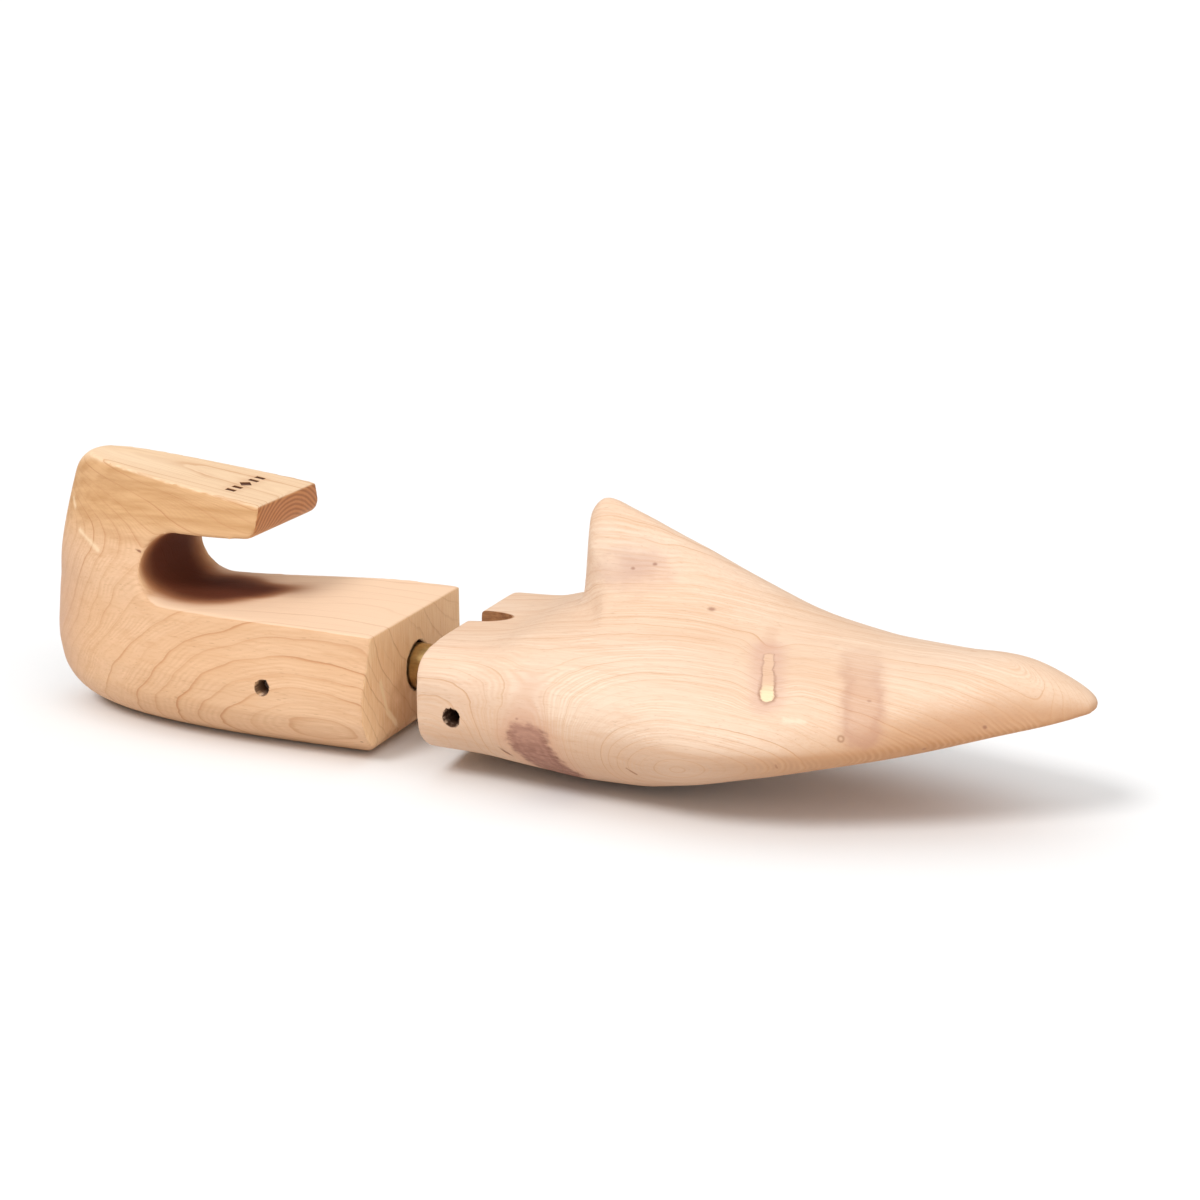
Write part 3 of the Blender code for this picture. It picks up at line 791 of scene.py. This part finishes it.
def heel_long_grain(g, at, rise, line, glow, fine):
    """Sides and tops: tan on the hook, with painted light that makes the hook's upward faces and the
    block's top paler.
    """
    colour, fibre, streak = wood_base(g, at.point, (0.740, 0.475, 0.292), (0.690, 0.420, 0.240),
                                      (0.56, 0.29, 0.138))
    tan = g.mix(streak.ramp(-0.2, 0.2), (0.66, 0.385, 0.182), (0.50, 0.258, 0.096))
    # Painted light: faces of the hook turned upwards are paler than its sides.
    tan = g.mix(at.nz.ramp(0.35, 0.85) * 0.92, tan, (0.86, 0.645, 0.430))
    colour = g.mix(rise * 0.80, colour, tan)
    colour = g.mix(glow * 0.24, colour, (0.60, 0.33, 0.155))
    colour = g.mix((fine + 0.20).math("MAXIMUM", 0.0) * 0.45, colour, (0.54, 0.29, 0.145))
    # Painted light: the block's top is paler than its sides, with its lines fainter.
    top = at.nz.ramp(0.75, 0.95) * (1 - rise)
    colour = g.mix(top * 0.80, colour, (0.86, 0.61, 0.425))
    return g.mix(line * (1 - top * 0.55) * 0.80, colour, LINE), fibre


def heel_end_grain(g, at, rings, rise, line):
    """Sawn front ends of the block and of the hook, with a dark foot and a pale sap streak."""
    sawn = g.noise(at.point, (4, 0.38, 9), 3.0, 0.65, 14.0)
    face = g.mix(sawn.ramp(-0.22, 0.25), (0.96, 0.68, 0.41), (0.82, 0.49, 0.245))
    low = g.blob(at.point, (0, -8, 5), (9, 13, 15)) + at.small * 1.2
    face = g.mix(low.ramp(1.3, 0.2) * 0.55, face, (0.44, 0.17, 0.058))
    arcs = (rings * (2 * math.pi)).math("SINE") * 0.5 + 0.5
    dark_end = g.mix(arcs.ramp(0.1, 1.0), (0.52, 0.205, 0.074), (0.33, 0.108, 0.036))
    face = g.mix(rise * 0.95, face, dark_end)
    face = g.mix(line * 0.45, face, (0.40, 0.16, 0.07))
    sap = g.stroke(at.point, (0, -21.4, 20), (0, -18.2, 11.4))
    sap = sap.math("MINIMUM", g.stroke(at.point, (0, -18.2, 11.4), (0, -11.3, 4.6)))
    return g.mix((sap + at.small * 1.4).ramp(1.2, 0.2) * 0.75, face, (0.95, 0.74, 0.46))


def heel_marks(g, at, colour):
    """Painted shade with purple-grey streaks on the lower back, a pale patch on the hook's crown, two
    bright flashes and small cracks.
    """
    # Painted shade on the back where it turns away from the light, with purple-grey streaks.
    back_shade_and_streaks = at.x.ramp(-84, -107) * at.z.ramp(52, 36) * (at.cloudy + 0.5)
    colour = g.mix(back_shade_and_streaks, colour, (0.52, 0.32, 0.235))
    crown = g.blob(at.point, (-84, -2, 67.5), (22, 6.5, 9)) + at.small * 0.9
    crown = crown.ramp(1.15, 0.3) * at.nz.ramp(0.5, 0.9)
    colour = g.mix(crown * 0.30, colour, (0.90, 0.70, 0.49))
    for a, b, width in (((-99, -8.0, 57.0), (-97.6, -9.4, 54.8), 0.8),
                        ((-94.6, -12.8, 49.4), (-86.4, -16.7, 45.6), 0.9)):
        flash = g.stroke(at.point, a, b) + at.grit * 0.9 + at.small * 0.8
        colour = g.mix(flash.ramp(width * 1.3, 0.0) * 0.60, colour, (0.90, 0.70, 0.46))
    for a, b in (((-74, -18.0, 47.6), (-71.2, -19.2, 47.0)),
                 ((-71.1, -22.1, 39.9), (-70.2, -22.4, 38.6)),
                 ((-3.2, -28.6, 5.6), (-1.2, -27.6, 6.6))):
        crack = g.stroke(at.point, a, b) + at.grit * 0.5
        colour = g.mix(crack.ramp(0.40, 0.12) * 0.8, colour, (0.20, 0.07, 0.035))
    return colour


def scorch_and_shade(g, at, colour):
    """Wood burned round the finger slot, spilling forward over the block, with painted shade in the
    slot and under the hook; and how strong burn and shade are.
    """
    smoke = g.noise(at.point, (22, 12, 12), 2.0, 0.45, 6.0)
    burn = g.blob(at.point, (-58, -5, 42.5), (19.5, 18.0, 10.8)) + smoke * 0.22
    tongue = g.stroke(at.point, (-56, -6, 34.4), (-34, 6, 34.2)) + smoke * 4.0
    burn_and_shade = burn.ramp(1.34, 0.74)
    spill = tongue.ramp(9.5, 0.5) * at.x.ramp(-28.0, -50.0)
    burn_and_shade = (1 - (1 - burn_and_shade) * (1 - spill * 0.92)) * at.ny.ramp(-0.80, -0.35)
    # Painted shade: the scorch and char colours also darken the slot's hollow and the block under the
    # hook.
    colour = g.mix(burn_and_shade.ramp(0.0, 0.60) * 0.85, colour, SCORCH_AND_SHADE)
    return g.mix(burn_and_shade.ramp(0.18, 1.0) * 0.97, colour, CHAR_AND_SHADE), burn_and_shade


def branded(g, at, colour):
    """Burned floor of the maker's mark, and the singed wood about it."""
    drop = (HOOK_TOP_Z + HOOK_SLOPE * HOOK_FRONT_X) - at.x * HOOK_SLOPE - at.z
    along = (at.x - MARK_X).math("ABSOLUTE")
    across = at.y.math("ABSOLUTE")
    mark = drop.ramp(0.08, 0.26) * along.ramp(3.2, 2.6) * across.ramp(9.6, 9.0)
    halo = along.ramp(4.2, 1.4) * across.ramp(11.0, 7.0) * at.z.ramp(61.5, 62)
    colour = g.mix(halo * 0.16, colour, SCORCH_AND_SHADE)
    return g.mix(mark * at.z.ramp(60, 61) * 0.9, colour, (0.070, 0.020, 0.014))


def paint_hole_shade(g, at, colour, hole, end_y, dark):
    """Painted shade: dark walls where hole is 1, down to the cross hole's blind end."""
    return g.mix(hole * at.y.ramp(end_y + 0.2, end_y - 0.4), colour, dark)


def cedar_heel():
    g = Graph("cedar_heel_wood")
    at = Surface(g, small=((12, 5, 5), 2.0, 0.5, 2.0), grit=((2.6, 2.2, 2.2), 3.0, 0.6, 9.0),
                 cloudy=((9, 5, 14), 3.0, 0.6, 15.0))
    rings, rise = heel_growth(g, at)
    line, glow = growth_lines(g, rings, 0.19, 11.0, at.point)
    fine = fine_lines(g, rings, 4.0, 3.0, at.point)
    colour, fibre = heel_long_grain(g, at, rise, line, glow, fine)
    face = heel_end_grain(g, at, rings, rise, line)
    colour = g.mix(at.nx.ramp(0.55, 0.93) * 0.90, colour, face)
    colour = heel_marks(g, at, colour)
    # Burn round the finger slot, with painted shade in the slot and under the hook.
    colour, burn_and_shade = scorch_and_shade(g, at, colour)
    colour = branded(g, at, colour)

    # Painted shade in the bore round the tube and in the cross pin's hole.
    bore = g.vector("LENGTH", g.xyz(0.0, at.y, at.z - TUBE_Z)) + at.grit * 1.2
    recess_shade = bore.ramp(7.3, 6.3) * at.x.ramp(-62, -58)
    colour = g.mix(recess_shade * 0.88, colour, HOLE_SHADE)
    pin = g.vector("LENGTH", g.xyz(at.x - HEEL_PIN_X, 0.0, at.z - TUBE_Z))
    colour = paint_hole_shade(g, at, colour, pin.ramp(2.3, 1.95) * 0.85, HEEL_PIN_END, HOLE_SHADE)

    g.feed(g.shader.inputs["Base Color"], colour)
    g.feed(g.shader.inputs["Roughness"], 0.55 + fibre * 0.16 + line * 0.08 + burn_and_shade * 0.2)
    g.shader.inputs["Specular IOR Level"].default_value = WOOD_SPECULAR
    height = fibre * 0.6 - line * 0.6 + fine * 0.2
    height = height + g.noise(at.point, (18, 9, 9), 1.0, 0.4, 4.0) * 1.2
    g.bump(height, WOOD_RELIEF)
    return g.material


# ------------------------------------------------------------------ forepart's wood
def fore_growth(g, at, pocket):
    """Ring numbers: near-flat layers that swell round the knot, the fin and the bark pocket."""
    warp = g.noise(at.point, (52, 22, 22), 2.0, 0.45, 7.0)
    out = at.y * FORE_OUT[0] + at.z * FORE_OUT[1] - ((at.x - FORE_OUTER_X) ** 2.0) * FORE_BOW
    rings = crowded(g, fore_outermost() + 0.05 - out, 2.3, 0.13)
    for centre, radii, rise in (((50.0, -36.0, 12.0), (17, 15, 19), 11.0),
                                ((62.0, -2.4, 52.0), (18, 14, 10), 1.2)):
        swell = g.blob(at.point, centre, radii)
        rings = rings + g.math("EXPONENT", (swell ** 2.0) * -1.0) * rise
    rings = rings + pocket.ramp(9.0, 0.0) * 1.2
    medial = (at.y + 10.9 - (164.6 - at.x) * 0.07).math("MAXIMUM", 0.0)
    nested = 20.8 - (medial ** 2.0 * 0.15 + at.x - 164.6) / 2.2
    rings = rings.math("SMOOTH_MIN", nested, 3.0)
    calm = (at.x - FORE_OUTER_X).bell(0.0, 26.0) * out.ramp(14.0, 22.0)
    return rings + (warp * 2.4 + at.small * 0.45) * (1 - calm * 0.75)


def fore_long_grain(g, at, line, glow, fine):
    """Pale cedar, warmer towards the toe, with painted shade on sides turned downwards and on the flank
    nearer the toe, where it also stands for darker end grain.
    """
    colour, fibre, _ = wood_base(g, at.point, (0.805, 0.622, 0.478), (0.750, 0.540, 0.388),
                                 (0.66, 0.40, 0.250))
    blush = g.noise(at.point, (40, 24, 24), 2.0, 0.5, 21.0)
    colour = g.mix(blush.ramp(0.0, 0.25) * 0.30, colour, (0.78, 0.50, 0.345))
    # Painted shade: sides turned downwards, and the flank and side nearer the toe, are darker; towards
    # the toe this is also darker end grain.
    low_side_shade = at.nz.ramp(0.30, -0.25) * (at.x.ramp(85, 125) * 0.48 + 0.40)
    colour = g.mix(low_side_shade, colour, (0.46, 0.225, 0.108))
    flank_shade = at.nz.ramp(0.88, 0.15) * at.x.ramp(90, 138)
    colour = g.mix(flank_shade * 0.62, colour, (0.56, 0.295, 0.145))
    colour = g.mix(at.x.ramp(140, 176) * 0.25, colour, (0.74, 0.47, 0.285))
    toe_side_shade = at.nz.ramp(0.85, 0.20) * at.x.ramp(118, 150)
    colour = g.mix(toe_side_shade * 0.42, colour, (0.42, 0.17, 0.06))
    colour = g.mix(glow * 0.20, colour, (0.72, 0.44, 0.255))
    colour = g.mix((fine + 0.20).math("MAXIMUM", 0.0) * 0.62, colour, (0.65, 0.38, 0.22))
    return g.mix(line * 0.66, colour, (0.54, 0.265, 0.120)), fibre


def rear_knot(g, at, colour, spiky):
    """Dark knot low at the rear, with a whorled heart, a split beside it and a flush above."""
    body = g.stroke(at.point, (48.2, -38.6, 15.8), (53.6, -31, 6.6))
    dark = body + at.cloudy * 2.6 + at.grit * 2.4
    colour = g.mix(dark.ramp(12.0, 4.5) * 0.50, colour, (0.58, 0.30, 0.19))
    heart = g.mix(spiky.ramp(-0.2, 0.2), (0.39, 0.190, 0.135), (0.25, 0.105, 0.075))
    colour = g.mix(dark.ramp(6.6, 4.4) * 0.85, colour, heart)
    whorl = (body * 3.4 + at.cloudy * 9.0 + at.grit * 4.0).math("SINE") * 0.5 + 0.5
    colour = g.mix(dark.ramp(5.4, 4.0) * whorl * 0.25, colour, (0.20, 0.085, 0.062))
    rim = dark.bell(5.3, 0.9) * spiky.ramp(-0.15, 0.2)
    colour = g.mix(rim * 0.6, colour, (0.18, 0.07, 0.045))
    split = g.stroke(at.point, (39.4, -34.9, 12.8), (43.0, -33.6, 9.0)) + at.grit * 0.7
    colour = g.mix(split.ramp(0.6, 0.2) * 0.75, colour, (0.20, 0.075, 0.04))
    flush = g.stroke(at.point, (47.0, -39.0, 20.0), (48.4, -37.0, 34.0)) + at.cloudy * 6.0
    return g.mix(flush.ramp(8.0, 0.5) * 0.30, colour, (0.64, 0.37, 0.26)), split


def bark_pocket(g, at, colour, pocket, spiky, fibre):
    """Healed groove with a dark rim, filled with pale wood, in a stained halo."""
    halo = pocket + at.cloudy * 3.0 + at.grit
    colour = g.mix(halo.ramp(6.4, 1.4) * 0.44, colour, (0.56, 0.31, 0.25))
    faint = g.stroke(at.point, (100.0, -8.5, 41.8), (101.4, -15.0, 39.6)) + at.cloudy * 2.0
    colour = g.mix(faint.ramp(2.6, 0.6) * 0.26, colour, (0.60, 0.34, 0.22))
    groove, down = g.stroke(at.point, (102.4, -18.5, 38.6), (106.9, -33.0, 33.1), share=True)
    edge = (groove + at.grit * 1.5 + at.cloudy * 0.5) / (down * 0.45 + 1.05)
    rim = (spiky.ramp(-0.25, 0.15) * 0.6 + 0.4) * (down * 0.60 + 0.08)
    colour = g.mix(edge.ramp(1.80, 1.10) * rim, colour, (0.34, 0.16, 0.09))
    inner = g.mix(down.ramp(0.60, 0.95), (0.72, 0.48, 0.33), (0.90, 0.72, 0.46))
    inner = g.mix(fibre.ramp(0.0, 0.25) * 0.5, inner, (0.50, 0.27, 0.13))
    return g.mix(edge.ramp(1.20, 0.80) * 0.92, colour, inner), edge


def stains(g, at, colour):
    """Old stain in front of the bark pocket, darker at its edge, and a cloud on the fin."""
    patch = g.stroke(at.point, (124.2, -14.4, 38.8), (128.3, -27.7, 33.5))
    tail = g.stroke(at.point, (128.3, -27.7, 33.5), (129.7, -32.8, 28.6))
    patch = patch.math("MINIMUM", tail) + at.cloudy * 5.0 + at.grit * 1.4
    faded = at.y.ramp(-6, -26) * 0.7 + 0.3
    colour = g.mix(patch.ramp(7.4, 1.0) * faded * 0.40, colour, (0.50, 0.26, 0.175))
    colour = g.mix(patch.bell(3.6, 1.3) * faded ** 2.0 * 0.30, colour, (0.42, 0.20, 0.14))
    cloud = g.blob(at.point, (61.6, -2.4, 52.3), (9.0, 9, 5.0)) + at.cloudy * 1.6
    return g.mix(cloud.ramp(1.7, 0.0) * 0.55, colour, (0.50, 0.30, 0.235))


def specks(g, at, colour):
    """Pin knots, one ringed knot, a pale fleck and two small nicks."""
    for centre, size in (((61.7, -2.6, 52.0), 0.45), ((67.0, -1.1, 53.2), 0.45),
                         ((84.3, -7.4, 45.1), 0.75), ((45.5, -38.6, 21.7), 0.40),
                         ((129.8, -27.8, 33.3), 0.50), ((142.9, -27.1, 23.5), 0.50),
                         ((155.6, -21.1, 28.3), 0.45)):
        dot = g.blob(at.point, centre, (size * 1.5, size, size)) + at.grit * 1.4
        colour = g.mix(dot.ramp(1.4, 0.3) * 0.68, colour, (0.30, 0.13, 0.08))
    ring = g.blob(at.point, (125.5, -35.5, 26.2), (0.65, 0.65, 0.65)) + at.grit * 0.5
    colour = g.mix(ring.bell(1.0, 0.40) * 0.60, colour, (0.33, 0.16, 0.08))
    fleck = g.stroke(at.point, (112.6, -37.4, 30.0), (116.6, -36.3, 29.2)) + at.grit * 1.4
    colour = g.mix(fleck.ramp(1.2, 0.0) * 0.38, colour, (0.93, 0.80, 0.62))
    vee = g.stroke(at.point, (74.4, -39.2, 13.4), (76.4, -38.0, 11.6)) + at.grit * 0.4
    colour = g.mix(vee.ramp(0.45, 0.15) * 0.75, colour, (0.33, 0.14, 0.07))
    curl = g.stroke(at.point, (111.5, -40.9, 20.6), (111.9, -40.0, 18.4)) + at.grit * 0.4
    return g.mix(curl.ramp(0.4, 0.15) * 0.65, colour, (0.36, 0.16, 0.08))


def slot_wall_shade(g, at, colour, fibre):
    """Painted shade on the walls of the tubes' slot and of its open mouth, streaked along the rough
    fibre.
    """
    wall = (at.y.math("ABSOLUTE") + at.grit * 0.4).ramp(7.1, 6.5)
    recess_shade = wall * at.x.ramp(32.2, 31.3) * at.z.ramp(12.6, 13.2) * at.z.ramp(26.6, 26.0)
    mouth = ((at.x - REAR_X) / (MOUTH_END_X - REAR_X)) ** 2.0 + (at.y / MOUTH_HALF) ** 2.0
    mouth = mouth.ramp(1.16, 1.02) * at.z.ramp(25.5, 26.0) * at.x.ramp(REAR_X - 1, REAR_X - 0.5)
    slot_shade = g.mix((fibre + at.grit * 0.6).ramp(-0.25, 0.25), (0.44, 0.20, 0.080),
                (0.25, 0.095, 0.035))
    return g.mix(recess_shade.math("MAXIMUM", mouth) * 0.9, colour, slot_shade)


def cedar_fore():
    g = Graph("cedar_fore_wood")
    at = Surface(g, small=((10, 4, 4), 2.0, 0.5, 2.6), grit=((2.6, 2.2, 2.2), 3.0, 0.6, 12.0),
                 cloudy=((7, 5, 5), 3.0, 0.6, 15.0))
    spiky = g.noise(at.point, (3.2, 1.6, 1.0), 3.0, 0.6, 17.0)
    pocket = g.stroke(at.point, (101.6, -16.3, 39.2), (107.0, -33.6, 32.7))
    rings = fore_growth(g, at, pocket)
    line, glow = growth_lines(g, rings, 0.16, 31.0, at.point)
    fine = fine_lines(g, rings, 3.0, 5.0, at.point)
    colour, fibre = fore_long_grain(g, at, line, glow, fine)
    colour, split = rear_knot(g, at, colour, spiky)
    colour, edge = bark_pocket(g, at, colour, pocket, spiky, fibre)
    colour = stains(g, at, colour)
    colour = specks(g, at, colour)
    # Painted shade on the walls of the tubes' slot and its mouth.
    colour = slot_wall_shade(g, at, colour, fibre)
    # Painted shade in the hinge pin's hole.
    hole = g.vector("LENGTH", g.xyz(at.x - HINGE_X, 0.0, at.z - TUBE_Z)) + at.grit * 0.9
    colour = paint_hole_shade(g, at, colour, hole.ramp(2.7, 2.25) * 0.95, HINGE_PIN_END, DEEP_HOLE_SHADE)

    g.feed(g.shader.inputs["Base Color"], colour)
    g.feed(g.shader.inputs["Roughness"], 0.53 + fibre * 0.16 + line * 0.08)
    g.shader.inputs["Specular IOR Level"].default_value = WOOD_SPECULAR
    dip = edge.ramp(1.4, 0.9) * 2.2 + split.ramp(0.9, 0.2) * 2.0
    height = fibre * 0.6 - line * 0.5 + fine * 0.2 - dip
    height = height + g.noise(at.point, (22, 10, 10), 1.0, 0.4, 4.0) * 1.2
    g.bump(height, WOOD_RELIEF)
    return g.material


# ------------------------------------------------------------------ metal and floor
def drawn_metal(name, bright, dull, roughness, tarnish):
    """Drawn tube or bar: fine lines along X, and tarnish in soft patches."""
    g = Graph(name)
    point, _ = g.position()
    lines = g.noise(point, (22, 0.35, 0.35), 3.0, 0.6, 2.0)
    patch = g.noise(point, (7, 5, 5), 4.0, 0.62, 5.0)
    share = (patch.ramp(-0.16, 0.2) * tarnish + lines.ramp(0.0, 0.3) * 0.25)
    g.feed(g.shader.inputs["Base Color"], g.mix(share, bright, dull))
    g.shader.inputs["Metallic"].default_value = 1.0
    g.feed(g.shader.inputs["Roughness"], roughness + patch * 0.18 + lines * 0.12)
    g.bump(lines * 0.5 + patch * 0.3, 0.03)
    return g.material


def floor_material():
    g = Graph("studio_floor")
    point, _ = g.position()
    mottle = g.noise(point, (90, 90, 90), 2.0, 0.5, 1.0)
    g.feed(g.shader.inputs["Base Color"], g.mix(mottle.ramp(-0.4, 0.4), (0.832, 0.832, 0.832),
                                                (0.842, 0.842, 0.842)))
    g.shader.inputs["Roughness"].default_value = 0.85
    g.shader.inputs["Specular IOR Level"].default_value = 0.15
    return g.material


# ------------------------------------------------------------------ assembly
def dress(obj, body, slot, material, *nodes):
    """Give a piece its finish and its body, and hide the CAD nodes that it stands for."""
    obj.data.materials.clear()
    obj.data.materials.append(material)
    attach(obj, body)
    if nodes:
        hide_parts(*nodes)


def make_floor():
    half = 80.0
    mesh = bpy.data.meshes.new("floor")
    mesh.from_pydata([(-half, -half, 0), (half, -half, 0), (half, half, 0), (-half, half, 0)],
                     [], [(0, 1, 2, 3)])
    floor = link("floor", mesh)
    floor.data.materials.append(floor_material())


def make_light():
    world = bpy.data.worlds.new("studio")
    world.use_nodes = True
    background = world.node_tree.nodes["Background"]
    background.inputs["Color"].default_value = (1.0, 1.0, 1.0, 1.0)
    background.inputs["Strength"].default_value = SKY
    bpy.context.scene.world = world
    for name, direction, strength, width in LIGHTS:
        light = bpy.data.lights.new(name, "SUN")
        light.energy = strength
        light.angle = math.radians(width)
        lamp = bpy.data.objects.new(name, light)
        lamp.rotation_euler = Vector(direction).to_track_quat("-Z", "Y").to_euler()
        bpy.context.scene.collection.objects.link(lamp)


def make_camera():
    lens = bpy.data.cameras.new("camera")
    lens.lens = CAMERA_LENS
    camera = bpy.data.objects.new("camera", lens)
    camera.location = CAMERA_PLACE
    camera.rotation_euler = (math.radians(90 - CAMERA_PITCH), 0, math.radians(-CAMERA_YAW))
    bpy.context.scene.collection.objects.link(camera)
    bpy.context.scene.camera = camera


make_camera()
make_floor()
make_light()
bpy.context.scene.view_settings.view_transform = "Standard"

BRASS = drawn_metal("brass_tube", (0.62, 0.47, 0.22), (0.27, 0.19, 0.08), 0.30, 0.75)
STEEL = drawn_metal("steel_pin", (0.62, 0.60, 0.58), (0.33, 0.30, 0.27), 0.30, 0.60)

dress(make_heel(), "heel", "cedar_heel", cedar_heel(), "heel_block")
dress(make_fore(), "forepart", "cedar_fore", cedar_fore(), "forepart")
dress(make_outer_tube(), "heel", "brass", BRASS, "outer_tube")
dress(make_inner_tube(), "tube", "brass", BRASS, "inner_tube")
spring = make_spring()
dress(spring, "tube", "steel", STEEL, "spring")
SPRING_LENGTH = SPRING_HIGH.x - SPRING_LOW.x
(SPRING_LENGTH - TRAVEL) / SPRING_LENGTH
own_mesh(spring)
for name in ("eye_plug", "heel_cross_pin", "hinge_pin"):
    for material_slot in frame["nodes"][name].material_slots:
        material_slot.material = STEEL
